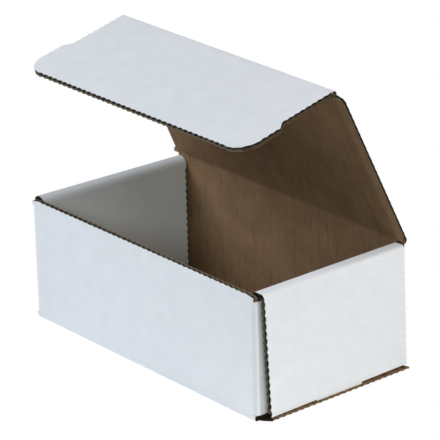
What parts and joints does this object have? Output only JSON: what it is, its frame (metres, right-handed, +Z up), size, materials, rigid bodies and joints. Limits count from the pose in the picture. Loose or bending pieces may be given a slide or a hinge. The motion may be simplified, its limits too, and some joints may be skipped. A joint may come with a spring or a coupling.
{
  "type": "corrugated mailer box",
  "caption": "White-faced corrugated mailer box with double end walls, shown with its lid raised and its tuck flap bent forward.",
  "frame": {"origin": "middle of the tray's footprint, on the surface the box stands on", "axes": "+Z up, X along the long walls, the lid's hinge along X at the +Y side, the tuck flap closes at the -Y side"},
  "size_m": [0.1994, 0.1088, 0.1654],
  "materials": {
    "board": "matt"
  },
  "bodies": {
    "tray": {"tray": "board"},
    "lid": {"lid": "board"},
    "tuck_flap": {"tuck_flap": "board"}
  },
  "joints": [
    {"name": "lid_hinge", "type": "hinge", "parent": "tray", "child": "lid", "pos_m": [0, 0.0515, 0.0733], "axis": [-1, 0, 0], "range_deg": [-53.4, 114.6]},
    {"name": "tuck_flap_hinge", "type": "hinge", "parent": "lid", "child": "tuck_flap", "pos_m": [0, 0.01004, 0.16386], "axis": [1, 0, 0], "range_deg": [-78.6, 1.4]}
  ]
}
